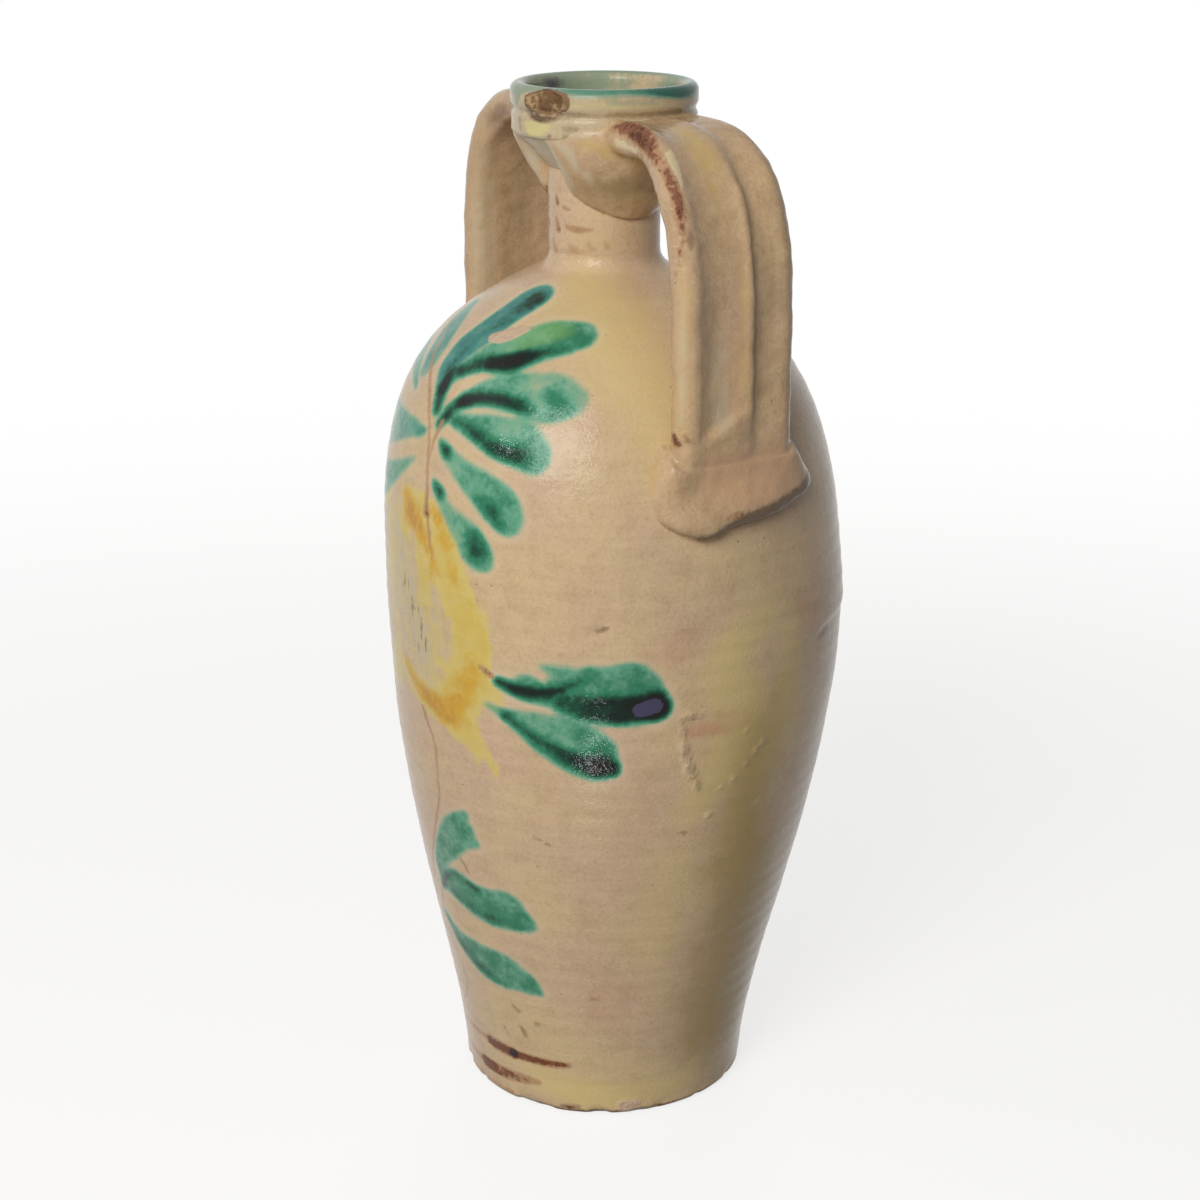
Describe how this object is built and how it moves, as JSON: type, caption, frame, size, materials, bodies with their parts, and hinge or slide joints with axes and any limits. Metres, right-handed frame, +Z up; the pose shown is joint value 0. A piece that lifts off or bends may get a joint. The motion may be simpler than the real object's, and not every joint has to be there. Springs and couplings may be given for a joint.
{
  "type": "clay water jug",
  "caption": "Tall two-handled water jug of glazed clay: swelling body on a flat base, narrow neck, wide collared mouth and broad fluted strap handles from collar to shoulder.",
  "frame": {"origin": "centre of the flat base, on the surface the jug stands on", "axes": "+Z up along the jug's axis, +X towards the right handle, the painted front faces -Y"},
  "size_m": [0.1958, 0.191, 0.43],
  "materials": {
    "glazed_body": "warm cream lead glaze with painted green, brown and yellow leaves",
    "glazed_lip": "cream glaze run over with green at the lip",
    "glazed_handle": "warm cream lead glaze, worn to the clay along one edge"
  },
  "bodies": {
    "root": {"belly": "glazed_body", "shoulder": "glazed_body", "neck": "glazed_body", "mouth_ring": "glazed_lip", "handle_strap_right": "glazed_handle", "handle_strap_left": "glazed_handle", "handle_lug_right": "glazed_handle", "handle_lug_left": "glazed_handle", "handle_foot_right": "glazed_handle", "handle_foot_left": "glazed_handle"}
  },
  "joints": []
}
